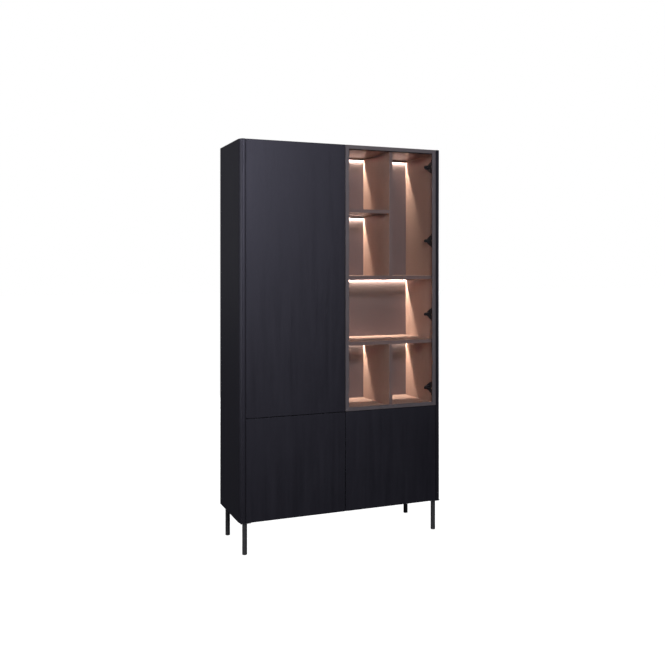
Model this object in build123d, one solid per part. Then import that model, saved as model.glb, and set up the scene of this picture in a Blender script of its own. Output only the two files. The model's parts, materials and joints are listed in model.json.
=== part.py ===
from build123d import *
import os

# Display cabinet in millimetres: +Z up, the front faces -Y, +X is to the right of
# someone who faces it. The origin is on the floor under the middle of the cabinet.

# ---- overall sizes ----
WIDTH = 1150.0            # over the outer faces of the two side panels
DEPTH = 390.0             # side panels, front to rear
CARCASS_HEIGHT = 1935.0   # side panels, bottom to top
LEG_HEIGHT = 165.0        # floor to the underside of the carcass

# ---- boards ----
SIDE_T = 30.0             # side panels
BOARD_T = 22.0            # top, bottom and centre partition
SHELF_T = 19.0            # fixed shelves, niche boards, loose shelves
BACK_T = 8.0              # rear panel and niche lining
POST_W = 20.0             # rounded outer front edge of each side panel, across its front
POST_D = 38.0             # the same rounding, along its side
EDGE_ROUND = 1.0          # softened edges of the solid doors
BACK_INSET = 2.0          # rear panel in from the rear edges
REBATE = 10.0             # rebate for the rear panel, into the boards' width
BACK_PLAY = 0.5           # rear panel to the rebate's wall
CABLE_SPACE = 8.0         # between the niche lining and the rear panel

# ---- doors ----
DOOR_T = 20.0
DOOR_GAP = 3.0            # between doors, and between a door and a side panel
DOOR_SEAT = 2.0           # door's rear face to the carcass's front edges
DOOR_REVEAL = 0.5         # doors' ends to the top of the carcass and to its underside
SPLIT_HEIGHT = 525.0      # middle of the gap between lower and upper doors
FRAME_W = 20.0            # glass door: front face of the aluminium profile
FRAME_WEB = 12.0          # glass door: profile's full-depth web
FRAME_LIP_T = 5.0         # glass door: lip in front of the pane
GLASS_T = 4.0
GLASS_PLAY = 1.0          # pane to the web, and pane behind the lip
GASKET_W = 5.0
GASKET_T = 3.0

# ---- niches of the lit compartment: clear heights, the top row takes the rest ----
LOWER_TIER = 336.0
WIDE_TIER = 333.0
MIDDLE_TIER = 337.0

# ---- loose shelves ----
TALL_SHELVES = 3          # in the tall compartment on the left
SHELF_SIDE_PLAY = 1.0
SHELF_SETBACK = 12.0      # behind the carcass's front edges
SHELF_BACK_PLAY = 2.0
PIN_R = 2.5
PIN_OUT = 9.0             # pin, length outside its hole
PIN_IN = 7.5              # pin, length in its hole
PIN_HOLE_DEPTH = 8.5
PIN_PLAY = 0.05
PIN_FROM_EDGE = 40.0      # pin's axis to the front and rear edges of its shelf
PIN_PITCH = 32.0          # spare holes above and below each pin

# ---- lights ----
LED_DEPTH = 17.0          # light profile, front to rear, its slot included
LED_HEIGHT = 9.0
LED_WALL = 1.5
LED_SLOT = 5.0            # open slot between the profile's tube and the niche lining
LED_END_PLAY = 0.5
TAPE_T = 1.0              # light tape under the roof of the slot
TAPE_PLAY = 0.5           # tape to the tube and to the lining
DRIVER_SIZE = (150.0, 42.0, 18.0)
DRIVER_FROM_BACK = 60.0
DRIVER_CORNER = 3.0
GROMMET_R = 17.0          # body of the cable grommet, in the rear panel
GROMMET_BORE_R = 14.0
GROMMET_FLANGE_R = 21.0
GROMMET_FLANGE_T = 2.0
GROMMET_PLAY = 0.4
GROMMET_RISE = 100.0      # grommet's axis above the middle of the lower compartment

# ---- legs ----
LEG_R = 12.5
LEG_WALL = 1.5
LEG_INSET_X = 34.0        # leg's axis from the outer side face
LEG_INSET_Y = 30.0        # leg's axis from the front and rear faces
PLATE_SIZE = 56.0
PLATE_T = 3.0
PLATE_CORNER = 4.0
GLIDE_T = 5.0             # plastic foot under the tube
GLIDE_PLUG = 12.0         # part of the foot inside the tube
GLIDE_PLAY = 0.1
GLIDE_CHAMFER = 1.0

# ---- concealed hinges ----
# Each hinge is drawn in its own plane: a runs from the door's hinge edge towards its
# middle, b runs rearwards from the door's front face. A link turns on a fixed arm and
# carries the door. It turns back by a third of the angle that the door opens by.
ARM_PIVOT = (40.0, 54.0)  # a, b of the link's pin in the arm
CUP_PIVOT = (11.0, 18.0)  # a, b of the link's pin in the cup
HINGE_PIN_R = 1.25
HINGE_PIN_PLAY = 0.05
TONGUE_H = 4.0            # half height of the arm's tongue and of the cup's lug
CHEEK_PLAY = 0.4          # tongue to a cheek of the link
CHEEK_T = 2.2
CHEEK_W = 4.8
CHEEK_BENDS = ((13.5, 1.0), (25.0, 20.0))    # bends of a cheek, from the cup's pin
BRIDGE_ENDS = ((15.0, 3.5), (23.5, 18.0))    # bridge between the cheeks, from the cup's pin
BRIDGE_W = 2.0
ARM_FOOT_B = (62.0, 104.0)       # arm's foot on its plate, front and rear end
ARM_FOOT_T = 6.0
ARM_NECK = (9.0, 66.0)           # front of the arm: out from the plate, and b
ARM_SHOULDER = (12.0, 84.0)      # rear of the arm: out from the plate, and b
ARM_TIP_W = 4.0                  # arm at its pin
ARM_EYE_R = 3.4                  # round end of the arm about its pin
ARM_BODY_H = 8.0                 # half height of the arm's body, behind the link's reach
CUP_R = 17.5
CUP_DEPTH = 11.5
CUP_EDGE = 4.0            # rim of the cup to the door's hinge edge
CUP_WALL = 1.2
CUP_PLAY = 0.05
CUP_FLANGE_W = 14.0
CUP_FLANGE_H = 64.0
CUP_FLANGE_CORNER = 4.0
CUP_SLOT_DEPTH = 6.5             # opening towards the hinge edge, below the door's rear face
CUP_SLOT_PLAY = 0.8              # link to the cup's walls
LUG_EYE_R = 2.6                  # round end of the lug about the cup's pin
LUG_FOOT = (5.0, 8.6)            # lug's foot, before and behind the pin
FLANGE_T = 1.5
BOX_CUP_EDGE = 4.2        # box cup of the aluminium frame, to the door's hinge edge
BOX_CUP_DEPTH = 10.0
BOX_FLANGE_H = 76.0
BOX_FLANGE_OUT = 2.5             # box cup's flange past its box, towards the hinge edge
BOX_FLANGE_IN = 4.0              # the same towards the middle of the door
BOX_CUP_PLAY = 0.2               # box cup to the opening's inner edge
HINGE_PLATE_T = 2.5
HINGE_PLATE_CORNER = 4.0
HINGE_PLATE_B = (58.0, 106.0)    # mounting plate, front and rear end
HINGE_PLATE_H = (66.0, 15.0)     # its height at the front and at the rear
TALL_DOOR_ENDS = 90.0            # outer hinges from a tall door's bottom and top edge
SHORT_DOOR_ENDS = 80.0           # the same on a short door
TALL_HINGES = 4
SHORT_HINGES = 2

# ---- push latches ----
LATCH_R = 4.0             # body, let into the front edge of the partition
LATCH_LENGTH = 50.0
LATCH_BORE_R = 2.6
PLUNGER_R = 2.55
PLUNGER_LENGTH = 30.0
PLUNGER_GAP = 0.3         # plunger's tip to the closed door
PLUNGER_TRAVEL = 3.0
LATCH_BORE_SPARE = 1.0    # bore behind the pressed plunger
LATCH_WALL = 1.0          # partition's wood beside a latch
LATCH_PLAY = 0.1
LATCH_FROM_TOP = 120.0    # left door's latch below the door's top edge
LATCH_STAGGER = 40.0      # right door's latch below the left one

# ---- anti-tip brackets ----
BRACKET_LEG = 30.0
BRACKET_W = 20.0
BRACKET_T = 2.5
BRACKET_SPACING = 400.0
BRACKET_HOLE_R = 3.0
BRACKET_HOLE_DROP = 18.0  # wall hole below the underside of the top
WALL_HOLE_PLAY = 1.0      # larger hole through the rear panel

# ---- places worked out from the sizes ----
HALF = WIDTH / 2
INNER = HALF - SIDE_T                      # inner face of a side panel
FRONT = -DEPTH / 2
REAR = DEPTH / 2
FLOOR = LEG_HEIGHT                         # underside of the carcass
TOP = FLOOR + CARCASS_HEIGHT
EDGE = FRONT + DOOR_T + DOOR_SEAT          # front edges of boards behind the doors
BACK_Y = REAR - BACK_INSET - BACK_T        # front face of the rear panel
LINING_Y = BACK_Y - CABLE_SPACE - BACK_T   # front face of the niche lining
PART_X = BOARD_T / 2                       # right face of the partition
LATCH_X = PART_X - LATCH_WALL - LATCH_R    # latch axis from the middle of the partition
BOTTOM_Z = FLOOR + BOARD_T                 # upper face of the bottom
TOP_Z = TOP - BOARD_T                      # underside of the top
SPLIT_Z = FLOOR + SPLIT_HEIGHT
DECK_Z = SPLIT_Z + SHELF_T / 2             # upper face of the boards behind the split
UNDER_DECK_Z = DECK_Z - SHELF_T
LOWER_Z = DECK_Z + LOWER_TIER + SHELF_T    # upper faces of the niche shelves
MIDDLE_Z = LOWER_Z + WIDE_TIER + SHELF_T
UPPER_Z = MIDDLE_Z + MIDDLE_TIER + SHELF_T
NICHE_X = (PART_X + INNER) / 2             # middle of the lit compartment
DIV_L = NICHE_X - SHELF_T / 2
DIV_R = NICHE_X + SHELF_T / 2
DOOR_IN = DOOR_GAP / 2                     # inner edge of a door
DOOR_OUT = INNER - DOOR_GAP                # hinge edge of a door
DOOR_BACK = FRONT + DOOR_T
LOW_DOOR = (FLOOR + DOOR_REVEAL, SPLIT_Z - DOOR_GAP / 2)
HIGH_DOOR = (SPLIT_Z + DOOR_GAP / 2, TOP - DOOR_REVEAL)

os.makedirs("parts", exist_ok=True)
nodes = {}


def block(x, y, z):
    """A board between two planes in each direction, given as (low, high) pairs."""
    size = [high - low for low, high in (x, y, z)]
    middle = [(high + low) / 2 for low, high in (x, y, z)]
    return Pos(*middle) * Box(*size)


def rod(radius, start, length, direction):
    """A round bar from a start point along one of the axes."""
    plane = Plane(origin=start, z_dir=direction)
    return plane * Cylinder(radius, length, align=(Align.CENTER, Align.CENTER, Align.MIN))


def keep(name, *solids):
    """Files the solids under one node."""
    shapes = [solid for shape in solids for solid in shape.solids()]
    nodes[name] = shapes[0] if len(shapes) == 1 else Compound(children=shapes)


def spread(count, low, high):
    """Even places from low to high, ends included."""
    return [low + (high - low) * i / (count - 1) for i in range(count)]


# ---- loose shelves and their pins ----
def shelf_places():
    """Name, x range, back y and underside z of every loose shelf."""
    places = []
    clear = TOP_Z - DECK_Z
    for i in range(TALL_SHELVES):
        under = DECK_Z + clear * (i + 1) / (TALL_SHELVES + 1) - SHELF_T / 2
        places.append((f"tall_shelf_{i + 1}", (-INNER, -PART_X), under))
    under = (BOTTOM_Z + UNDER_DECK_Z - SHELF_T) / 2
    places.append(("lower_shelf_left", (-INNER, -PART_X), under))
    places.append(("lower_shelf_right", (PART_X, INNER), under))
    return places


SHELF_Y = (EDGE + SHELF_SETBACK, BACK_Y - SHELF_BACK_PLAY)
PIN_YS = (SHELF_Y[0] + PIN_FROM_EDGE, SHELF_Y[1] - PIN_FROM_EDGE)


def pin_rows():
    """Wall x, direction of the pin, y and z of the pin's axis for every pin in use."""
    rows = []
    for _, (low, high), under in shelf_places():
        for y in PIN_YS:
            rows.append((low, 1, y, under - PIN_R))
            rows.append((high, -1, y, under - PIN_R))
    return rows


def pin_holes(walls):
    """Blind holes for the pins, and a spare one above and below each, at the given walls."""
    holes = []
    for wall, way, y, z in pin_rows():
        if wall in walls:
            for step in (-1, 0, 1):
                start = (wall, y, z + step * PIN_PITCH)
                holes.append(rod(PIN_R + PIN_PLAY, start, PIN_HOLE_DEPTH, (-way, 0, 0)))
    return holes


# ---- carcass ----
def side_panel(side):
    """Full-height side with a rounded outer front edge and a rebate for the rear panel."""
    centre = (HALF - POST_W, FRONT + POST_D)
    post = EllipticalCenterArc(centre, POST_W, POST_D, start_angle=270, arc_size=90)
    rest = Polyline((HALF, centre[1]), (HALF, REAR), (INNER, REAR), (INNER, FRONT), (centre[0], FRONT))
    panel = Pos(0, 0, FLOOR) * extrude(make_face([post, rest]), CARCASS_HEIGHT, dir=(0, 0, 1))
    rebate_z = (FLOOR + BOARD_T - REBATE, TOP - BOARD_T + REBATE)
    panel -= block((INNER, INNER + REBATE), (BACK_Y, REAR), rebate_z)
    if side < 0:
        panel = mirror(panel, Plane.YZ)
    return panel - pin_holes((side * INNER,))


def end_board(z, rebate_z):
    """Top or bottom between the sides, rebated at the rear."""
    board = block((-INNER, INNER), (EDGE, REAR), z)
    return board - block((-INNER, INNER), (BACK_Y, REAR), rebate_z)


keep("side_panel_left", side_panel(-1))
keep("side_panel_right", side_panel(1))
keep("top_panel", end_board((TOP_Z, TOP), (TOP_Z, TOP_Z + REBATE)))
keep("bottom_panel", end_board((FLOOR, BOTTOM_Z), (BOTTOM_Z - REBATE, BOTTOM_Z)))

# Latch bodies are let into the partition's front edge, one for each door.
latch_places = []
for door_name, side, (low, high), drop in (
    ("tall_door", -1, HIGH_DOOR, LATCH_FROM_TOP),
    ("glass_door", 1, HIGH_DOOR, LATCH_FROM_TOP + LATCH_STAGGER),
    ("lower_door_left", -1, LOW_DOOR, LATCH_FROM_TOP),
    ("lower_door_right", 1, LOW_DOOR, LATCH_FROM_TOP + LATCH_STAGGER),
):
    latch_places.append((door_name, side * LATCH_X, high - drop))

partition = block((-PART_X, PART_X), (EDGE, BACK_Y), (BOTTOM_Z, TOP_Z))
partition -= pin_holes((-PART_X, PART_X))
for _, x, z in latch_places:
    partition -= rod(LATCH_R + LATCH_PLAY, (x, EDGE, z), LATCH_LENGTH + LATCH_PLAY, (0, 1, 0))
keep("centre_partition", partition)
keep("fixed_shelf_left", block((-INNER, -PART_X), (EDGE, BACK_Y), (UNDER_DECK_Z, DECK_Z)))
keep("niche_floor", block((PART_X, INNER), (EDGE, BACK_Y), (UNDER_DECK_Z, DECK_Z)))

bracket_xs = [(-INNER - PART_X) / 2 + way * BRACKET_SPACING / 2 for way in (-1, 1)]
grommet_at = (NICHE_X, BACK_Y, (BOTTOM_Z + UNDER_DECK_Z) / 2 + GROMMET_RISE)
back_reach = REBATE - BACK_PLAY
back = block(
    (-INNER - back_reach, INNER + back_reach),
    (BACK_Y, BACK_Y + BACK_T),
    (BOTTOM_Z - back_reach, TOP_Z + back_reach),
)
for x in bracket_xs:
    hole_at = (x, BACK_Y, TOP_Z - BRACKET_HOLE_DROP)
    back -= rod(BRACKET_HOLE_R + WALL_HOLE_PLAY, hole_at, BACK_T, (0, 1, 0))
back -= rod(GROMMET_R + GROMMET_PLAY, grommet_at, BACK_T, (0, 1, 0))
keep("back_panel", back)

# ---- lit compartment ----
NICHE_Y = (EDGE, LINING_Y)
keep("niche_lining", block((PART_X, INNER), (LINING_Y, LINING_Y + BACK_T), (DECK_Z, TOP_Z)))
keep("niche_shelf_lower", block((PART_X, INNER), NICHE_Y, (LOWER_Z - SHELF_T, LOWER_Z)))
keep("niche_shelf_middle", block((PART_X, INNER), NICHE_Y, (MIDDLE_Z - SHELF_T, MIDDLE_Z)))
keep("niche_shelf_upper", block((PART_X, DIV_L), NICHE_Y, (UPPER_Z - SHELF_T, UPPER_Z)))
keep("niche_divider_lower", block((DIV_L, DIV_R), NICHE_Y, (DECK_Z, LOWER_Z - SHELF_T)))
keep("niche_divider_upper", block((DIV_L, DIV_R), NICHE_Y, (MIDDLE_Z, TOP_Z)))

niches = {
    "lower_left": ((PART_X, DIV_L), (DECK_Z, LOWER_Z - SHELF_T)),
    "lower_right": ((DIV_R, INNER), (DECK_Z, LOWER_Z - SHELF_T)),
    "wide": ((PART_X, INNER), (LOWER_Z, MIDDLE_Z - SHELF_T)),
    "middle_left": ((PART_X, DIV_L), (MIDDLE_Z, UPPER_Z - SHELF_T)),
    "upper_left": ((PART_X, DIV_L), (UPPER_Z, TOP_Z)),
    "tall_right": ((DIV_R, INNER), (MIDDLE_Z, TOP_Z)),
}
tapes = []
profile_front, slot_front = LINING_Y - LED_DEPTH, LINING_Y - LED_SLOT
for name, ((x0, x1), (z0, z1)) in niches.items():
    x = (x0 + LED_END_PLAY, x1 - LED_END_PLAY)
    roof = z1 - LED_WALL
    profile = block(x, (profile_front, LINING_Y), (z1 - LED_HEIGHT, z1))
    profile -= block(x, (slot_front, LINING_Y), (z1 - LED_HEIGHT, roof))
    tube_y = (profile_front + LED_WALL, slot_front - LED_WALL)
    profile -= block(x, tube_y, (z1 - LED_HEIGHT + LED_WALL, roof))
    tapes.append(block(x, (slot_front + TAPE_PLAY, LINING_Y - TAPE_PLAY), (roof - TAPE_T, roof)))
    keep(f"led_profile_{name}", profile)
keep("led_tapes", *tapes)

driver_w, driver_d, driver_h = DRIVER_SIZE
driver_y = BACK_Y - DRIVER_FROM_BACK
driver = block(
    (NICHE_X - driver_w / 2, NICHE_X + driver_w / 2),
    (driver_y - driver_d, driver_y),
    (UNDER_DECK_Z - driver_h, UNDER_DECK_Z),
)
keep("led_driver", fillet(driver.edges().filter_by(Axis.Z), DRIVER_CORNER))

gx, gy, gz = grommet_at
grommet = rod(GROMMET_R, (gx, gy, gz), BACK_T, (0, 1, 0))
grommet += rod(GROMMET_FLANGE_R, (gx, gy - GROMMET_FLANGE_T, gz), GROMMET_FLANGE_T, (0, 1, 0))
bore_length = BACK_T + GROMMET_FLANGE_T
grommet -= rod(GROMMET_BORE_R, (gx, gy - GROMMET_FLANGE_T, gz), bore_length, (0, 1, 0))
keep("cable_grommet", grommet)

# ---- loose shelves ----
for name, (low, high), under in shelf_places():
    x = (low + SHELF_SIDE_PLAY, high - SHELF_SIDE_PLAY)
    keep(name, block(x, SHELF_Y, (under, under + SHELF_T)))
pins = []
for wall, way, y, z in pin_rows():
    pins.append(rod(PIN_R, (wall - way * PIN_IN, y, z), PIN_IN + PIN_OUT, (way, 0, 0)))
keep("shelf_pins", *pins)


# ---- concealed hinges ----
WALL_A = -DOOR_GAP                         # face of the side panel in the hinge's plane
CHEEK_IN = TONGUE_H + CHEEK_PLAY
CHEEK_OUT = CHEEK_IN + CHEEK_T
CUP_INSIDE = CHEEK_OUT + CUP_SLOT_PLAY     # half height of the room for the link


def hinge_block(a, b, half):
    return block(a, b, (-half, half))


def hinge_pin(radius, at, half):
    return rod(radius, (at[0], at[1], -half), 2 * half, (0, 0, 1))


def hinge_prism(points, half):
    outline = make_face(Polyline(*[(a, b, 0) for a, b in points], close=True))
    return Pos(0, 0, -half) * extrude(outline, 2 * half, dir=(0, 0, 1))


def bar(points, width, low, high):
    """Round-ended flat bar that follows the points."""
    path = Polyline(*points)
    outline = make_face(offset(path, width / 2, side=Side.BOTH))
    return Pos(0, 0, low) * extrude(outline, high - low, dir=(0, 0, 1))


def round_cup_hole(play):
    """Cup's outer cylinder, from the door's rear face."""
    at = (CUP_EDGE + CUP_R, DOOR_T, 0)
    return rod(CUP_R + play, at, CUP_DEPTH + play, (0, -1, 0))


def hinge_link():
    """Two cranked cheeks joined by a bridge, with both pins."""
    a, b = CUP_PIVOT
    bends = [(a + da, b + db) for da, db in CHEEK_BENDS]
    cheek = bar([CUP_PIVOT, *bends, ARM_PIVOT], CHEEK_W, CHEEK_IN, CHEEK_OUT)
    link = cheek + mirror(cheek, Plane.XY)
    bridge = [(a + da, b + db) for da, db in BRIDGE_ENDS]
    link += bar(bridge, BRIDGE_W, -CHEEK_OUT, CHEEK_OUT)
    for pivot in (ARM_PIVOT, CUP_PIVOT):
        link += hinge_pin(HINGE_PIN_R, pivot, CHEEK_OUT)
    return link


def hinge_arm():
    """Arm from the mounting plate to the link's pin."""
    foot = WALL_A + HINGE_PLATE_T
    front, rear = ARM_FOOT_B
    a, b = ARM_PIVOT
    half = ARM_TIP_W / 2
    outline = [
        (foot, front),
        (foot, rear),
        (foot + ARM_FOOT_T, rear),
        (foot + ARM_SHOULDER[0], ARM_SHOULDER[1]),
        (a + half, b + ARM_EYE_R),
        (a + half, b - half),
        (a - half, b - half),
        (foot + ARM_NECK[0], ARM_NECK[1]),
        (foot + ARM_FOOT_T, front),
    ]
    arm = hinge_prism(outline, TONGUE_H) + hinge_pin(ARM_EYE_R, ARM_PIVOT, TONGUE_H)
    behind_link = hinge_block((foot, a + half), (front, rear), ARM_BODY_H)
    arm += hinge_prism(outline, ARM_BODY_H) & behind_link
    return arm - hinge_pin(HINGE_PIN_R + HINGE_PIN_PLAY, ARM_PIVOT, TONGUE_H)


def hinge_plate():
    """Mounting plate on the side panel, narrower towards its rear end."""
    front, rear = HINGE_PLATE_B
    tall, low = (height / 2 for height in HINGE_PLATE_H)
    corners = [(front, -tall), (rear, -low), (rear, low), (front, tall)]
    outline = make_face(Polyline(*[(WALL_A, b, z) for b, z in corners], close=True))
    plate = extrude(outline, HINGE_PLATE_T, dir=(1, 0, 0))
    return fillet(plate.edges().filter_by(Axis.X), HINGE_PLATE_CORNER)


def cup_lug():
    """Lug on the cup's floor that carries the link's pin."""
    a, b = CUP_PIVOT
    floor = DOOR_T - CUP_DEPTH
    front, rear = (a - LUG_FOOT[0], floor), (a + LUG_FOOT[1], floor)
    foot = [front, rear, (a + LUG_EYE_R, b), (a - LUG_EYE_R, b)]
    return hinge_prism(foot, TONGUE_H) + hinge_pin(LUG_EYE_R, CUP_PIVOT, TONGUE_H)


def round_cup():
    """Pressed cup with a flange, open towards the door's hinge edge."""
    middle = CUP_EDGE + CUP_R
    flange_a = (middle - CUP_FLANGE_W / 2, middle + CUP_FLANGE_W / 2)
    flange = hinge_block(flange_a, (DOOR_T, DOOR_T + FLANGE_T), CUP_FLANGE_H / 2)
    cup = round_cup_hole(0) + fillet(flange.edges().filter_by(Axis.Y), CUP_FLANGE_CORNER)
    hollow_at = (middle, DOOR_T + FLANGE_T, 0)
    cup -= rod(CUP_R - CUP_WALL, hollow_at, CUP_DEPTH + FLANGE_T - CUP_WALL, (0, -1, 0))
    slot_b = (DOOR_T - CUP_SLOT_DEPTH, DOOR_T + FLANGE_T)
    cup -= hinge_block((0, middle / 2), slot_b, CUP_INSIDE)
    cup += cup_lug() & rod(CUP_R, hollow_at, CUP_DEPTH + FLANGE_T, (0, -1, 0))
    return cup - hinge_pin(HINGE_PIN_R + HINGE_PIN_PLAY, CUP_PIVOT, TONGUE_H)


def box_cup():
    """Shallow steel box let into the aluminium stile, with a flange above and below."""
    a = (BOX_CUP_EDGE, FRAME_WEB - BOX_CUP_PLAY)
    floor = DOOR_T - BOX_CUP_DEPTH
    outside = CUP_INSIDE + CUP_WALL
    cup = hinge_block(a, (floor, floor + CUP_WALL), outside)
    for way in (-1, 1):
        end = sorted((way * CUP_INSIDE, way * outside))
        cup += block(a, (floor, DOOR_T + FLANGE_T), end)
        wing = sorted((way * CUP_INSIDE, way * BOX_FLANGE_H / 2))
        wing_a = (a[0] - BOX_FLANGE_OUT, a[1] + BOX_FLANGE_IN)
        cup += block(wing_a, (DOOR_T, DOOR_T + FLANGE_T), wing)
    pin_a, pin_b = CUP_PIVOT
    cup += hinge_block((pin_a - LUG_EYE_R, a[1]), (floor, pin_b), TONGUE_H)
    cup += hinge_pin(LUG_EYE_R, CUP_PIVOT, TONGUE_H)
    return cup - hinge_pin(HINGE_PIN_R + HINGE_PIN_PLAY, CUP_PIVOT, TONGUE_H)


def box_cup_pocket():
    half = CUP_INSIDE + CUP_WALL + CUP_PLAY
    floor = DOOR_T - BOX_CUP_DEPTH - CUP_PLAY
    return hinge_block((BOX_CUP_EDGE - CUP_PLAY, FRAME_WEB), (floor, DOOR_T), half)


def at_hinge(shape, side, z):
    """Places a piece of a hinge on the left (-1) or the right (1) side of the cabinet."""
    placed = Pos(-DOOR_OUT, FRONT, z) * shape
    return mirror(placed, Plane.YZ) if side > 0 else placed


def hinge_heights(door, count, ends):
    return spread(count, door[0] + ends, door[1] - ends)


tall_heights = hinge_heights(HIGH_DOOR, TALL_HINGES, TALL_DOOR_ENDS)
short_heights = hinge_heights(LOW_DOOR, SHORT_HINGES, SHORT_DOOR_ENDS)
hinged = {
    "tall_door": (-1, tall_heights, round_cup()),
    "glass_door": (1, tall_heights, box_cup()),
    "lower_door_left": (-1, short_heights, round_cup()),
    "lower_door_right": (1, short_heights, round_cup()),
}
arm, plate, link = hinge_arm(), hinge_plate(), hinge_link()
arms, plates = [], []
for door_name, (side, heights, cup) in hinged.items():
    arms += [at_hinge(arm, side, z) for z in heights]
    plates += [at_hinge(plate, side, z) for z in heights]
    keep(f"{door_name}_hinge_links", *[at_hinge(link, side, z) for z in heights])
    keep(f"{door_name}_hinge_cups", *[at_hinge(cup, side, z) for z in heights])
keep("hinge_arms", *arms)
keep("hinge_plates", *plates)


# ---- solid doors ----
def solid_door(side, z_range, heights):
    x = sorted((side * DOOR_IN, side * DOOR_OUT))
    door = block(x, (FRONT, DOOR_BACK), z_range)
    door = fillet(door.edges(), EDGE_ROUND)
    return door - [at_hinge(round_cup_hole(CUP_PLAY), side, z) for z in heights]


keep("tall_door", solid_door(-1, HIGH_DOOR, tall_heights))
keep("lower_door_left", solid_door(-1, LOW_DOOR, short_heights))
keep("lower_door_right", solid_door(1, LOW_DOOR, short_heights))

# ---- glass door ----
def inset(amount):
    """x and z ranges of the glass door, less a margin all round."""
    low, high = HIGH_DOOR
    return (DOOR_IN + amount, DOOR_OUT - amount), (low + amount, high - amount)


def ring(outer, inner, y):
    """Rectangular ring between two margins of the glass door."""
    (ox, oz), (ix, iz) = inset(outer), inset(inner)
    return block(ox, y, oz) - block(ix, y, iz)


profile_ring = ring(0, FRAME_WEB, (FRONT, DOOR_BACK)) + ring(0, FRAME_W, (FRONT, FRONT + FRAME_LIP_T))
(gx0, gx1), (gz0, gz1) = inset(0)
(hx0, hx1), (hz0, hz1) = inset(FRAME_W)
members = {
    "glass_door_stile_left": ((gx0, gz0), (hx0, hz0), (hx0, hz1), (gx0, gz1)),
    "glass_door_stile_right": ((gx1, gz0), (hx1, hz0), (hx1, hz1), (gx1, gz1)),
    "glass_door_rail_bottom": ((gx0, gz0), (hx0, hz0), (hx1, hz0), (gx1, gz0)),
    "glass_door_rail_top": ((gx0, gz1), (hx0, hz1), (hx1, hz1), (gx1, gz1)),
}
for name, corners in members.items():
    mitre = make_face(Polyline(*[(x, FRONT, z) for x, z in corners], close=True))
    member = profile_ring & extrude(mitre, DOOR_T, dir=(0, 1, 0))
    if name == "glass_door_stile_right":
        member -= [at_hinge(box_cup_pocket(), 1, z) for z in tall_heights]
    keep(name, member)
pane_y = FRONT + FRAME_LIP_T + GLASS_PLAY
pane_x, pane_z = inset(FRAME_WEB + GLASS_PLAY)
keep("glass_pane", block(pane_x, (pane_y, pane_y + GLASS_T), pane_z))
gasket_y = (pane_y + GLASS_T, pane_y + GLASS_T + GASKET_T)
keep("glass_gasket", ring(FRAME_WEB, FRAME_WEB + GASKET_W, gasket_y))

# ---- push latches ----
latch_bodies = []
for name, x, z in latch_places:
    body = rod(LATCH_R, (x, EDGE, z), LATCH_LENGTH, (0, 1, 0))
    tip = DOOR_BACK + PLUNGER_GAP
    bore_end = tip + PLUNGER_LENGTH + PLUNGER_TRAVEL + LATCH_BORE_SPARE
    body -= rod(LATCH_BORE_R, (x, EDGE, z), bore_end - EDGE, (0, 1, 0))
    latch_bodies.append(body)
    plunger = rod(PLUNGER_R, (x, tip, z), PLUNGER_LENGTH, (0, 1, 0))
    keep(f"{name}_plunger", plunger)
keep("latch_bodies", *latch_bodies)

# ---- anti-tip brackets ----
brackets = []
for x in bracket_xs:
    width = (x - BRACKET_W / 2, x + BRACKET_W / 2)
    flat = block(width, (BACK_Y - BRACKET_LEG, BACK_Y), (TOP_Z - BRACKET_T, TOP_Z))
    flat += block(width, (BACK_Y - BRACKET_T, BACK_Y), (TOP_Z - BRACKET_LEG, TOP_Z))
    hole_at = (x, BACK_Y - BRACKET_T, TOP_Z - BRACKET_HOLE_DROP)
    brackets.append(flat - rod(BRACKET_HOLE_R, hole_at, BRACKET_T, (0, 1, 0)))
keep("anti_tip_brackets", *brackets)

# ---- legs ----
leg_plates, glides = [], []
for side, across in ((-1, "left"), (1, "right")):
    for end, along in ((-1, "front"), (1, "rear")):
        x = side * (HALF - LEG_INSET_X)
        y = end * (DEPTH / 2 - LEG_INSET_Y)
        tube_z = FLOOR - PLATE_T
        tube = rod(LEG_R, (x, y, GLIDE_T), tube_z - GLIDE_T, (0, 0, 1))
        tube -= rod(LEG_R - LEG_WALL, (x, y, GLIDE_T), tube_z - GLIDE_T, (0, 0, 1))
        keep(f"leg_{along}_{across}", tube)
        glide = rod(LEG_R, (x, y, 0), GLIDE_T, (0, 0, 1))
        glide = chamfer(glide.edges().group_by(Axis.Z)[0], GLIDE_CHAMFER)
        glide += rod(LEG_R - LEG_WALL - GLIDE_PLAY, (x, y, GLIDE_T), GLIDE_PLUG, (0, 0, 1))
        glides.append(glide)
        half = PLATE_SIZE / 2
        plate = block((x - half, x + half), (y - half, y + half), (tube_z, FLOOR))
        leg_plates.append(fillet(plate.edges().filter_by(Axis.Z), PLATE_CORNER))
keep("leg_plates", *leg_plates)
keep("leg_glides", *glides)

for name, shape in nodes.items():
    export_step(shape, f"parts/{name}.step")
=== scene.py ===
import json
import math
from fnmatch import fnmatchcase

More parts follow.
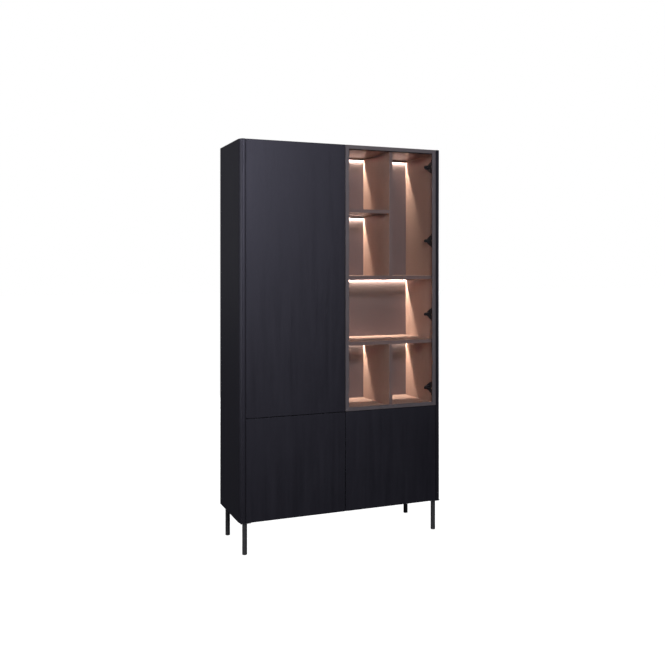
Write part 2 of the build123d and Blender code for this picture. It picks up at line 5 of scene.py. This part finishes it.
import bmesh
import bpy
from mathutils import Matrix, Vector

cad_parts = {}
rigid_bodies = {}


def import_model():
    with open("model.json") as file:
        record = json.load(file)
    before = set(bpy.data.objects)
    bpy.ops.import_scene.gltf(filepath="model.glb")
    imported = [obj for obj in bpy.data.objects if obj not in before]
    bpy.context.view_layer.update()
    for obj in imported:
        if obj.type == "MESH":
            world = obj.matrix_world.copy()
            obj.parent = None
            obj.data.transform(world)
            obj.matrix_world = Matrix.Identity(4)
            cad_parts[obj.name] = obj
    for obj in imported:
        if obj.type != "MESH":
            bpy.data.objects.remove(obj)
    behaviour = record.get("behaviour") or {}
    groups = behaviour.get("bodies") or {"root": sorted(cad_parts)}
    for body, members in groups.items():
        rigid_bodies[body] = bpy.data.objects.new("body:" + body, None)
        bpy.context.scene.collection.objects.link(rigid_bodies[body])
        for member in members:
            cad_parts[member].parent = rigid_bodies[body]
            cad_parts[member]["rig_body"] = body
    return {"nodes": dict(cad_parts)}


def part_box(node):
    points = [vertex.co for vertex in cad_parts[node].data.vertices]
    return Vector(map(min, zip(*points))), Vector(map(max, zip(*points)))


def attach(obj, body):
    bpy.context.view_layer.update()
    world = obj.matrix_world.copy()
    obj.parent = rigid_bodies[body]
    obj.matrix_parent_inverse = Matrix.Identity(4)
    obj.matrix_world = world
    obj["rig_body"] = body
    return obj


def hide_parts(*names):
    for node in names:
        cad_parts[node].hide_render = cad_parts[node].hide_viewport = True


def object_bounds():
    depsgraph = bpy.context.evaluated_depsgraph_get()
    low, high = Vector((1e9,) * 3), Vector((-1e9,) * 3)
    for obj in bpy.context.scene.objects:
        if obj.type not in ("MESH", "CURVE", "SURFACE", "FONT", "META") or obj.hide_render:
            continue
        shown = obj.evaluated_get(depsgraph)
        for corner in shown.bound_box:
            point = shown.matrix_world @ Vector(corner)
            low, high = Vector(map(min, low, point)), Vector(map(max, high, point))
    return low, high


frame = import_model()
cad_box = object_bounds()
nodes = frame["nodes"]

# The cabinet stands with its front towards -Y and +X to its right, in metres.
# ---- places taken from the frame ----
side_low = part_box("side_panel_right")[0]
part_low, part_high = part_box("centre_partition")
lining_low, lining_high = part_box("niche_lining")
SIDE_X = cad_box[1][0]            # outer face of the right side panel
INNER_X = side_low.x              # its inner face
BOARD_EDGE_Y = part_low.y         # front edges of the boards behind the doors
LIT_X = (part_high.x, INNER_X)    # the lit compartment, between its boards
LIT_Y = (BOARD_EDGE_Y, lining_low.y)
LIT_Z = (lining_low.z, lining_high.z)
INSIDE_Z = (part_low.z, part_high.z)

# ---- camera ----
EYE = (-1.700, -4.183, 1.452)
EYE_TURN = 22.19                  # degrees to the right of straight ahead
EYE_LENS = 44.50                  # millimetres
EYE_SHIFT = -0.098                # the camera is level, so its frame moves down instead
EYE_RANGE = 100.0

# ---- lamps ----
COOL = (0.97, 0.98, 1.0)          # studio lamps
WARM = (1.0, 0.92, 0.79)          # light tapes
TAPE_WATTS_PER_M = 10.0
TAPE_GLOW_WIDTH = 0.001
TAPE_GLOW_GAP = 0.0003            # from the tape down to its lamp

# ---- zones of a finish ----
SKIN = 0.0004                     # how far a zone reaches past its faces
FACES_FRONT = -0.7                # a face looks forwards where its normal's Y is below this
FACES_DOWN = -0.5                 # and down where its normal's Z is below this


# ---- shader maths ----
class Value:
    """A socket that Python's operators work on: each operator adds a Math node."""

    def __init__(self, shading, socket):
        self.shading = shading
        self.socket = socket

    def __add__(self, other):
        return self.shading.maths("ADD", self, other)

    def __mul__(self, other):
        return self.shading.maths("MULTIPLY", self, other)

    def __sub__(self, other):
        return self.shading.maths("SUBTRACT", self, other)

    def __rsub__(self, other):
        return self.shading.maths("SUBTRACT", other, self)

    def __pow__(self, other):
        return self.shading.maths("POWER", self, other)

    def __rpow__(self, other):
        return self.shading.maths("POWER", other, self)

    def __gt__(self, other):
        return self.shading.maths("GREATER_THAN", self, other)

    def __lt__(self, other):
        return self.shading.maths("LESS_THAN", self, other)

    __radd__ = __add__
    __rmul__ = __mul__

    def between(self, low, high):
        """1 inside a range that is widened by the skin, and 0 outside it."""
        return (self > low - SKIN) * (self < high + SKIN)

    def ramp(self, low, high):
        """0 at low and 1 at high, clamped."""
        return self.shading.node("ShaderNodeMapRange", {"clamp": True}, {0: self, 1: low, 2: high})


class Shading:
    """A node tree, and the one way that nodes are added to it."""

    def __init__(self, tree):
        self.tree = tree

    def feed(self, socket, value):
        """Links a value to a socket, or sets the socket to a number, a vector or a colour."""
        if isinstance(value, Value):
            self.tree.links.new(value.socket, socket)
        elif socket.type == "RGBA":
            socket.default_value = (*value, 1.0)
        else:
            socket.default_value = value

    def node(self, kind, settings, inputs, output=0):
        """Adds a node: its settings first, then the values or links of its sockets."""
        made = self.tree.nodes.new(kind)
        for name, value in settings.items():
            setattr(made, name, value)
        for key, value in inputs.items():
            self.feed(made.inputs[key], value)
        return Value(self, made.outputs[output])

    def maths(self, operation, *terms):
        return self.node("ShaderNodeMath", {"operation": operation}, dict(enumerate(terms)))

    def mix(self, share, first, second):
        """Colours mixed by a share: 0 is all of the first."""
        return self.node("ShaderNodeMix", {"data_type": "RGBA"}, {0: share, 6: first, 7: second}, 2)


class Finish(Shading):
    """The node tree of one material, on a Principled shader."""

    def __init__(self, name, **surface):
        self.material = bpy.data.materials.new(name)
        self.material.use_nodes = True
        super().__init__(self.material.node_tree)
        self.shader = self.tree.nodes["Principled BSDF"]
        for socket, value in surface.items():
            self.wear(socket.replace("_", " "), value)
        self.place = self.node("ShaderNodeTexCoord", {}, {}, "Object")
        facing = self.node("ShaderNodeTexCoord", {}, {}, "Normal")
        self.x, self.y, self.z = (self.axis(self.place, name) for name in "XYZ")
        self.nx, self.ny, self.nz = (self.axis(facing, name) for name in "XYZ")

    def wear(self, socket, value):
        """Gives a value to one of the shader's sockets."""
        self.feed(self.shader.inputs[socket], value)

    def axis(self, vector, name):
        return self.node("ShaderNodeSeparateXYZ", {}, {0: vector}, name)

    def noise(self, scale, detail=2.0, roughness=0.5, distortion=0.0):
        """Noise from 0 to 1. The scale is one number, or one for each axis, per metre."""
        scales = scale if isinstance(scale, tuple) else (scale, scale, scale)
        stretch = {"operation": "MULTIPLY"}
        inputs = {
            "Vector": self.node("ShaderNodeVectorMath", stretch, {0: self.place, 1: scales}),
            "Scale": 1.0,
            "Detail": detail,
            "Roughness": roughness,
            "Distortion": distortion,
        }
        return self.node("ShaderNodeTexNoise", {}, inputs)

    def two_tone(self, first, second, shares, colours):
        """Base colour between two colours, by two noises in the given shares."""
        shade = (first * shares[0] + second * shares[1]).ramp(0.3, 0.7)
        self.wear("Base Color", self.mix(shade, *colours))

    def bump(self, height, distance, strength):
        inputs = {"Strength": strength, "Distance": distance, "Height": height}
        self.wear("Normal", self.node("ShaderNodeBump", {}, inputs, "Normal"))


# ---- colours ----
def grey(level):
    return (level, level, level)


BLACK_STAIN = (0.0020, 0.0019, 0.0027)
BLACK_STAIN_PALE = (0.0052, 0.0049, 0.0066)
BLACK_PORE = (0.0010, 0.0010, 0.0013)
BLACK_VENEER = (BLACK_STAIN, BLACK_STAIN_PALE, BLACK_PORE)
TAUPE = (0.350, 0.218, 0.170)
TAUPE_PALE = (0.440, 0.286, 0.230)
TAUPE_PORE = (0.190, 0.112, 0.085)
TAUPE_VENEER = (TAUPE, TAUPE_PALE, TAUPE_PORE)
EDGE_BAND = (0.085, 0.068, 0.074)
MELAMINE = (0.0220, 0.0200, 0.0210)
LACQUER_TINT = (0.80, 0.77, 1.0)         # the black stain cools the gloss above it
ANTHRACITE = ((0.105, 0.090, 0.098), (0.155, 0.134, 0.144))
BLACK_ANODISED = ((0.006, 0.0055, 0.0055), (0.011, 0.010, 0.010))
RUBBER = (grey(0.006), (0.014, 0.013, 0.013))
POWDER_COAT = ((0.028, 0.028, 0.030), (0.050, 0.050, 0.052))
BLACK_PLATING = (grey(0.008), (0.018, 0.017, 0.017))
ZINC = ((0.50, 0.52, 0.54), (0.68, 0.69, 0.70))
PALE_PLASTIC = ((0.62, 0.62, 0.60), (0.74, 0.74, 0.72))
BLACK_PLASTIC = ((0.010, 0.010, 0.011), (0.022, 0.022, 0.023))
TAPE_STRIP = (0.70, 0.66, 0.58)
TAPE_CHIP = (0.90, 0.72, 0.30)
TAPE_STRIP_GLOW = (0.16, 0.11, 0.08)


# ---- finishes ----
FIGURE_SHARE = 0.55               # of the broad figure in a veneer's shade
FIBRE_SHARE = 0.75                # and of its fibres
PORE_COVER = 0.75
FIBRE_RELIEF = 0.35               # height of the fibres, in depths of a pore
PORE_DEPTH = 0.00012


def grain(finish, along):
    """Shade, relief and pores of a veneer whose grain runs along X or Z."""
    def scales(across, lengthwise):
        return (lengthwise, across, across) if along == "X" else (across, across, lengthwise)

    figure = finish.noise(scales(11.0, 0.9), detail=3.0, roughness=0.55, distortion=0.6)
    fibre = finish.noise(scales(420.0, 5.0), detail=4.0, roughness=0.62)
    pores = finish.noise(scales(1100.0, 26.0)).ramp(0.60, 0.70)
    shade = (figure * FIGURE_SHARE + fibre * FIBRE_SHARE).ramp(0.35, 0.95)
    return shade, fibre * FIBRE_RELIEF - pores, pores


def stained(finish, shade, pores, dark, pale, pore):
    """Colour of a veneer between a dark and a pale one, with its pores in a third."""
    return finish.mix(pores * PORE_COVER, finish.mix(shade, dark, pale), pore)


def black_veneer(name, along):
    """Black-stained oak veneer under a matt lacquer, for the doors."""
    finish = Finish(name, Specular_IOR_Level=0.60, IOR=1.5, Specular_Tint=LACQUER_TINT)
    shade, relief, pores = grain(finish, along)
    bands = finish.noise((26.0, 26.0, 1.4), detail=4.0, roughness=0.68, distortion=0.5)
    patches = finish.noise(5.0, detail=3.0)
    smoothest, patch_dulls, band_dulls, pore_dulls = 0.28, 0.08, 0.32, 0.12
    dullness = smoothest + patches * patch_dulls + bands * band_dulls + pores * pore_dulls
    finish.wear("Base Color", stained(finish, shade, pores, *BLACK_VENEER))
    finish.wear("Roughness", dullness)
    finish.bump(relief, PORE_DEPTH, strength=0.6)
    return finish.material


def carcass_veneer(name, along):
    """Boards of the carcass: black veneer outside, melamine inside the closed
    compartments, taupe in the lit one, with a grey band on its boards' front edges."""
    finish = Finish(name, Specular_IOR_Level=0.50, IOR=1.5, Specular_Tint=LACQUER_TINT)
    shade, relief, pores = grain(finish, along)
    black = stained(finish, shade, pores, *BLACK_VENEER)
    taupe = stained(finish, shade, pores, *TAUPE_VENEER)
    speckle = finish.noise(900.0)
    melamine = finish.mix(speckle * 0.5, MELAMINE, BLACK_STAIN)
    band = finish.mix(speckle * 0.4, EDGE_BAND, TAUPE)
    inside = finish.x.between(-INNER_X, INNER_X) * finish.z.between(*INSIDE_Z)
    inside = inside * (finish.y > BOARD_EDGE_Y + SKIN)
    lit = finish.x.between(*LIT_X) * finish.z.between(*LIT_Z) * finish.y.between(*LIT_Y)
    edge = lit * (finish.ny < FACES_FRONT)
    underside = lit * (finish.nz < FACES_DOWN)
    colour = finish.mix(lit, finish.mix(inside, black, melamine), taupe)
    patches = finish.noise(6.0, detail=3.0)
    smoothest, patch_dulls, pore_dulls, underside_shines = 0.46, 0.06, 0.08, 0.26
    dullness = smoothest + patches * patch_dulls + pores * pore_dulls
    finish.wear("Base Color", finish.mix(edge, colour, band))
    finish.wear("Roughness", dullness - underside * underside_shines)
    finish.bump(relief, PORE_DEPTH, strength=0.5)
    return finish.material


def anodised(name, along, colours):
    """Brushed and anodised aluminium, with the brushing along one axis."""
    fine, coarse = 2600.0, 14.0
    scales = {"X": (coarse, fine, fine), "Z": (fine, fine, coarse)}[along]
    finish = Finish(name, Metallic=0.55, Specular_IOR_Level=0.5)
    brushing = finish.noise(scales, detail=3.0, roughness=0.6)
    cloud = finish.noise(18.0)
    dullness, brushing_dulls, cloud_shines = 0.36, 0.10, 0.04
    finish.two_tone(brushing, cloud, (0.6, 0.4), colours)
    finish.wear("Roughness", dullness + brushing * brushing_dulls - cloud * cloud_shines)
    finish.bump(brushing, 0.00003, strength=0.35)
    return finish.material


def coated_steel(name, colours, dullness, metal, grain_size):
    """Powder-coated or plated steel: fine orange peel, a little unevenness."""
    finish = Finish(name, Metallic=metal, Specular_IOR_Level=0.5)
    peel = finish.noise(grain_size)
    cloud = finish.noise(25.0, detail=3.0)
    cloud_dulls, peel_shines = 0.12, 0.05
    finish.two_tone(peel, cloud, (0.5, 0.5), colours)
    finish.wear("Roughness", dullness + cloud * cloud_dulls - peel * peel_shines)
    finish.bump(peel, 0.00005, strength=0.5)
    return finish.material


def moulded(name, colours, dullness):
    """Injection-moulded plastic or rubber with an eroded texture."""
    finish = Finish(name, Specular_IOR_Level=0.5)
    texture = finish.noise(1500.0, roughness=0.6)
    cloud = finish.noise(30.0)
    texture_dulls = 0.12
    finish.two_tone(texture, cloud, (0.4, 0.6), colours)
    finish.wear("Roughness", dullness + texture * texture_dulls)
    finish.bump(texture, 0.00004, strength=0.4)
    return finish.material


def light_tape(name):
    """White flexible strip with a glowing chip every few millimetres."""
    finish = Finish(name, Roughness=0.5, Emission_Strength=6.0)
    pitch, chip_share = 0.0083, 0.38
    along_pitch = finish.maths("FRACT", finish.x * (1 / pitch))
    chips = (along_pitch < chip_share) * (finish.nz < FACES_DOWN)
    finish.wear("Base Color", finish.mix(chips, TAPE_STRIP, TAPE_CHIP))
    finish.wear("Emission Color", finish.mix(chips, TAPE_STRIP_GLOW, WARM))
    return finish.material


def smoked_glass(name):
    """Thin float glass, a little grey, that mirrors more at a flat angle."""
    finish = Finish(name)
    clear = finish.node("ShaderNodeBsdfTransparent", {}, {"Color": (0.955, 0.945, 0.935)}, "BSDF")
    polish = {"Color": (0.90, 0.92, 1.0), "Roughness": 0.03}
    mirror = finish.node("ShaderNodeBsdfGlossy", {}, polish, "BSDF")
    # The mirrored share is the same on both faces of the pane, so it never turns opaque.
    edge_on = finish.node("ShaderNodeLayerWeight", {}, {"Blend": 0.5}, "Facing")
    head_on_share, haze = 0.034, 0.012
    mirrored = head_on_share + edge_on ** 5.0 * (1 - head_on_share)
    mirrored = mirrored + finish.noise(7.0, detail=3.0) * haze
    share = {0: mirrored, 1: clear, 2: mirror}
    both = finish.node("ShaderNodeMixShader", {}, share, "Shader")
    finish.tree.nodes.remove(finish.shader)
    finish.feed(finish.tree.nodes["Material Output"].inputs["Surface"], both)
    return finish.material


finishes = {
    "door_veneer": black_veneer("door_veneer", "Z"),
    "upright_boards": carcass_veneer("upright_boards", "Z"),
    "level_boards": carcass_veneer("level_boards", "X"),
    "stile_aluminium": anodised("stile_aluminium", "Z", ANTHRACITE),
    "rail_aluminium": anodised("rail_aluminium", "X", ANTHRACITE),
    "profile_aluminium": anodised("profile_aluminium", "X", BLACK_ANODISED),
    "light_tape": light_tape("light_tape"),
    "smoked_glass": smoked_glass("smoked_glass"),
    "gasket_rubber": moulded("gasket_rubber", RUBBER, dullness=0.6),
    "leg_coating": coated_steel("leg_coating", POWDER_COAT, 0.40, metal=0.3, grain_size=700.0),
    "hinge_plating": coated_steel("hinge_plating", BLACK_PLATING, 0.30, metal=0.6, grain_size=300.0),
    "zinc_plating": coated_steel("zinc_plating", ZINC, 0.28, metal=1.0, grain_size=120.0),
    "driver_shell": moulded("driver_shell", PALE_PLASTIC, dullness=0.45),
    "black_plastic": moulded("black_plastic", BLACK_PLASTIC, dullness=0.42),
}

worn_by = {
    "door_veneer": ["tall_door", "lower_door_left", "lower_door_right"],
    "upright_boards": [
        "side_panel_*", "centre_partition", "back_panel", "niche_lining", "niche_divider_*"
    ],
    "level_boards": [
        "top_panel", "bottom_panel", "fixed_shelf_left", "tall_shelf*", "lower_shelf_*",
        "niche_floor", "niche_shelf*"
    ],
    "stile_aluminium": ["glass_door_stile_*"],
    "rail_aluminium": ["glass_door_rail_*"],
    "profile_aluminium": ["led_profile*"],
    "light_tape": ["led_tapes"],
    "smoked_glass": ["glass_pane"],
    "gasket_rubber": ["glass_gasket"],
    "leg_coating": ["leg_plates", "leg_front_*", "leg_rear_*"],
    "hinge_plating": ["hinge_arms", "hinge_plates", "*_hinge_links", "*_hinge_cups"],
    "zinc_plating": ["shelf_pins", "anti_tip_brackets"],
    "driver_shell": ["led_driver"],
    "black_plastic": ["leg_glides", "cable_grommet", "latch_bodies", "*_plunger"],
}
finish_of = {
    name: finish
    for finish, patterns in worn_by.items()
    for name in nodes
    if any(fnmatchcase(name, pattern) for pattern in patterns)
}
assert sorted(finish_of) == sorted(nodes)


# ---- pieces ----
def add(name, data):
    """A new object in the scene."""
    made = bpy.data.objects.new(name, data)
    bpy.context.scene.collection.objects.link(made)
    return made


def dress(piece, finish):
    piece.data.materials.clear()
    piece.data.materials.append(finishes[finish])


def new_piece(form, name, body, finish, sharp_from):
    """A piece from a form, smooth but for the edges sharper than an angle in degrees."""
    mesh = bpy.data.meshes.new(name)
    form.to_mesh(mesh)
    form.free()
    mesh.shade_smooth()
    mesh.set_sharp_from_angle(angle=math.radians(sharp_from))
    piece = add(name, mesh)
    dress(piece, finish)
    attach(piece, body)
    return piece


SAME_PLACE = 1e-6       # corners nearer than this are one


def welded(name):
    """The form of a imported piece, with its split corners joined."""
    form = bmesh.new()
    form.from_mesh(nodes[name].data)
    bmesh.ops.remove_doubles(form, verts=form.verts, dist=SAME_PLACE)
    return form


def softened(name, width, finish):
    """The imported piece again, with its long sharp edges rounded over."""
    form = welded(name)
    flat, sharp, shortest = math.radians(1), math.radians(30), 5 * width
    bmesh.ops.dissolve_limit(form, angle_limit=flat, verts=form.verts, edges=form.edges)
    edges = [
        edge for edge in form.edges
        if edge.is_manifold and edge.calc_face_angle() > sharp and edge.calc_length() > shortest
    ]
    bmesh.ops.bevel(
        form, geom=edges, offset=width, segments=2, profile=0.5, affect="EDGES", clamp_overlap=True
    )
    body = nodes[name]["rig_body"]
    piece = new_piece(form, f"{name}_softened", body, finish, sharp_from=35)
    normals = piece.modifiers.new("flat_faces", "WEIGHTED_NORMAL")
    normals.keep_sharp = True
    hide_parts(name)


BOARD_SOFTNESS = 0.0006
METAL_SOFTNESS = 0.0004
softness = {
    "upright_boards": BOARD_SOFTNESS,
    "level_boards": BOARD_SOFTNESS,
    "stile_aluminium": METAL_SOFTNESS,
    "rail_aluminium": METAL_SOFTNESS,
    "profile_aluminium": METAL_SOFTNESS,
}
for name, finish in finish_of.items():
    if finish in softness:
        softened(name, softness[finish], finish)
    else:
        dress(nodes[name], finish)


# ---- screws ----
RINGS = 7
SECTORS = 24
CENTRE = 0.02           # inner radius of the rings, in steps of one ring
DOME = 0.45             # height of the dome, in radii of the head
RIM = 0.25              # height of the rim under it, in dome heights
RECESS_DEPTH = 0.55     # of the cross, in dome heights
RECESS_HALF = 0.13      # half the width of its arms, in radii
RECESS_REACH = 0.62     # and their reach from the middle


def head_height(x, y):
    """Height of a screw's head over its seat, all in radii of the head."""
    reach = math.hypot(x, y)
    height = DOME * (math.sqrt(max(0.0, 1 - reach ** 2)) + RIM)
    if min(abs(x), abs(y)) < RECESS_HALF and reach < RECESS_REACH:
        height -= RECESS_DEPTH * DOME
    return height


def screw_form(form, radius, place, way):
    """A pan head with a cross recess, flat side down on the place, facing along the way."""
    turn = way.to_track_quat("Z", "Y").to_matrix()
    rows = []
    for ring in range(RINGS + 1):
        reach = (ring + CENTRE) / (RINGS + CENTRE)
        row = []
        for sector in range(SECTORS):
            angle = 2 * math.pi * sector / SECTORS
            x, y = reach * math.cos(angle), reach * math.sin(angle)
            height = 0.0 if ring == RINGS else head_height(x, y)
            row.append(form.verts.new(place + turn @ Vector((x, y, height)) * radius))
        rows.append(row)
    form.faces.new(rows[0])
    for inner, outer in zip(rows, rows[1:]):
        for this in range(SECTORS):
            after = (this + 1) % SECTORS
            form.faces.new((inner[this], outer[this], outer[after], inner[after]))


def screws(name, places, body, radius, finish):
    """Screw heads as one piece, each from a place and the way that its head faces."""
    form = bmesh.new()
    for place, way in places:
        screw_form(form, radius, Vector(place), Vector(way))
    bmesh.ops.recalc_face_normals(form, faces=form.faces)
    new_piece(form, name, body, finish, sharp_from=40)


def part_boxes(name):
    """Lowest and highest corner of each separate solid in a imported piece."""
    form = welded(name)
    seen, boxes = set(), []
    for start in form.verts:
        if start in seen:
            continue
        seen.add(start)
        solid = [start]
        for vert in solid:             # the list grows as its corners' neighbours are found
            for edge in vert.link_edges:
                other = edge.other_vert(vert)
                if other not in seen:
                    seen.add(other)
                    solid.append(other)
        low = Vector([min(vert.co[k] for vert in solid) for k in range(3)])
        high = Vector([max(vert.co[k] for vert in solid) for k in range(3)])
        boxes.append((low, high))
    form.free()
    return boxes


LEG_SCREW_INSET = 0.009           # from the edges of a leg's plate
PLATE_SCREW_DROP = 0.016          # from the middle of a hinge plate, clear of the arm
PLATE_SCREW_SETBACK = 0.30        # from its front edge, as a share of its depth
CUP_SCREW_DROP = 0.026            # from the middle of a round cup
BOX_CUP_SCREW_DROP = 0.032        # and of the glass door's box-shaped cup
BRACKET_SCREW_SETBACK = 0.011     # from the front edge of an anti-tip bracket
BRACKET_T = 0.0025                # its thickness


def leg_plate_screws():
    """Four under each leg's plate."""
    return [
        ((x, y, low.z), (0, 0, -1))
        for low, high in part_boxes("leg_plates")
        for x in (low.x + LEG_SCREW_INSET, high.x - LEG_SCREW_INSET)
        for y in (low.y + LEG_SCREW_INSET, high.y - LEG_SCREW_INSET)
    ]


def hinge_plate_screws():
    """Two on each mounting plate, above and below the arm."""
    places = []
    for low, high in part_boxes("hinge_plates"):
        way = 1 if low.x < 0 else -1
        face = high.x if way > 0 else low.x
        y = low.y + PLATE_SCREW_SETBACK * (high.y - low.y)
        middle = (low.z + high.z) / 2
        for drop in (-PLATE_SCREW_DROP, PLATE_SCREW_DROP):
            places.append(((face, y, middle + drop), (way, 0, 0)))
    return places


def cup_screws(name, reach):
    """Two on the flange of each hinge cup."""
    places = []
    for low, high in part_boxes(name):
        x = (low.x + high.x) / 2
        middle = (low.z + high.z) / 2
        for drop in (-reach, reach):
            places.append(((x, high.y, middle + drop), (0, 1, 0)))
    return places


def bracket_screws():
    """One through each anti-tip bracket, up into the top panel."""
    return [
        (((low.x + high.x) / 2, low.y + BRACKET_SCREW_SETBACK, high.z - BRACKET_T), (0, 0, -1))
        for low, high in part_boxes("anti_tip_brackets")
    ]


screws("leg_plate_screws", leg_plate_screws(), "cabinet", 0.0040, "zinc_plating")
screws("hinge_plate_screws", hinge_plate_screws(), "cabinet", 0.0038, "hinge_plating")
for door in ("tall_door", "lower_door_left", "lower_door_right"):
    places = cup_screws(f"{door}_hinge_cups", CUP_SCREW_DROP)
    screws(f"{door}_cup_screws", places, door, 0.0035, "hinge_plating")
places = cup_screws("glass_door_hinge_cups", BOX_CUP_SCREW_DROP)
screws("glass_door_cup_screws", places, "glass_door", 0.0030, "hinge_plating")
screws("bracket_screws", bracket_screws(), "cabinet", 0.0045, "zinc_plating")


# ---- floor, lamps and camera ----
def floor():
    """A wide white floor that glows a little more further out, as a studio sweep does."""
    half, dim, bright = 40.0, 0.95, 1.0
    dim_within, bright_past = 0.3, 6.0          # squares of the distances from the middle
    mesh = bpy.data.meshes.new("floor")
    corners = [(-half, -half, 0), (half, -half, 0), (half, half, 0), (-half, half, 0)]
    mesh.from_pydata(corners, [], [(0, 1, 2, 3)])
    ground = add("floor", mesh)
    finish = Finish("floor_paint", Specular_IOR_Level=0.1, Roughness=0.8, Emission_Strength=1.0)
    reach = (finish.x * finish.x + finish.y * finish.y).ramp(dim_within, bright_past)
    cloud = finish.noise(0.6)
    finish.wear("Base Color", finish.mix(cloud, grey(0.14), grey(0.17)))
    finish.wear("Emission Color", finish.mix(reach, grey(dim), grey(bright)))
    mesh.materials.append(finish.material)
    ground.visible_glossy = False
    ground.visible_diffuse = False


def area_lamp(name, place, aim, size, watts, colour=COOL):
    light = bpy.data.lights.new(name, "AREA")
    light.shape = "RECTANGLE"
    light.size, light.size_y = size
    light.energy = watts
    light.color = colour
    lamp = add(name, light)
    lamp.location = place
    lamp.rotation_euler = (Vector(aim) - Vector(place)).to_track_quat("-Z", "Y").to_euler()
    lamp.visible_camera = False
    return lamp


def tape_lamps():
    """One thin lamp under each light tape. The edge of the profile's slot trims its beam."""
    for low, high in part_boxes("led_tapes"):
        length = high.x - low.x
        middle = ((low.x + high.x) / 2, (low.y + high.y) / 2, low.z - TAPE_GLOW_GAP)
        name = f"tape_lamp_{round(middle[0], 2)}_{round(middle[2], 2)}"
        size, watts = (length, TAPE_GLOW_WIDTH), TAPE_WATTS_PER_M * length
        lamp = area_lamp(name, middle, middle, size, watts, WARM)
        lamp.rotation_euler = (0, 0, 0)


def studio_lamps():
    """Large soft lamps. The rear and right ones stay below the top panel, which would shine."""
    area_lamp("key_lamp", (-1.2, -5.7, 3.15), aim=(0, 0, 1.1), size=(1.2, 0.65), watts=300)
    area_lamp("left_lamp", (-4.1, -0.7, 2.1), aim=(-SIDE_X, -0.17, 1.5), size=(3.0, 2.6), watts=95)
    area_lamp("rear_left_lamp", (-2.6, 4.2, 2.4), aim=(-SIDE_X, 0, 1.4), size=(2.4, 3.0), watts=4)
    area_lamp("rear_lamp", (1.6, 4.6, 1.2), aim=(0.2, 0.2, 1.1), size=(2.4, 1.8), watts=280)
    area_lamp("right_lamp", (4.2, 1.4, 1.1), aim=(SIDE_X, 0, 1.1), size=(2.0, 1.9), watts=110)
    fill = area_lamp("fill_lamp", (2.6, -3.5, 2.2), aim=(0, 0, 1.0), size=(1.6, 1.6), watts=30)
    fill.visible_glossy = False    # its rectangle would show in the pane


def room():
    """White where the camera sees it, and nearly dark for the light that falls on the cabinet."""
    white, dusk = grey(1.0), (0.05, 0.05, 0.06)
    world = bpy.data.worlds.new("room")
    bpy.context.scene.world = world
    world.use_nodes = True
    walls = Shading(world.node_tree)
    background = walls.tree.nodes["Background"]
    seen = walls.node("ShaderNodeLightPath", {}, {}, "Is Camera Ray")
    walls.feed(background.inputs["Color"], walls.mix(seen, dusk, white))
    walls.feed(background.inputs["Strength"], 1.0)


def camera():
    lens = bpy.data.cameras.new("camera")
    lens.lens = EYE_LENS
    lens.shift_y = EYE_SHIFT
    lens.clip_end = EYE_RANGE
    eye = add("camera", lens)
    eye.location = EYE
    eye.rotation_euler = (math.pi / 2, 0, -math.radians(EYE_TURN))
    bpy.context.scene.camera = eye


floor()
room()
camera()
tape_lamps()
studio_lamps()
bpy.context.scene.view_settings.view_transform = "Standard"
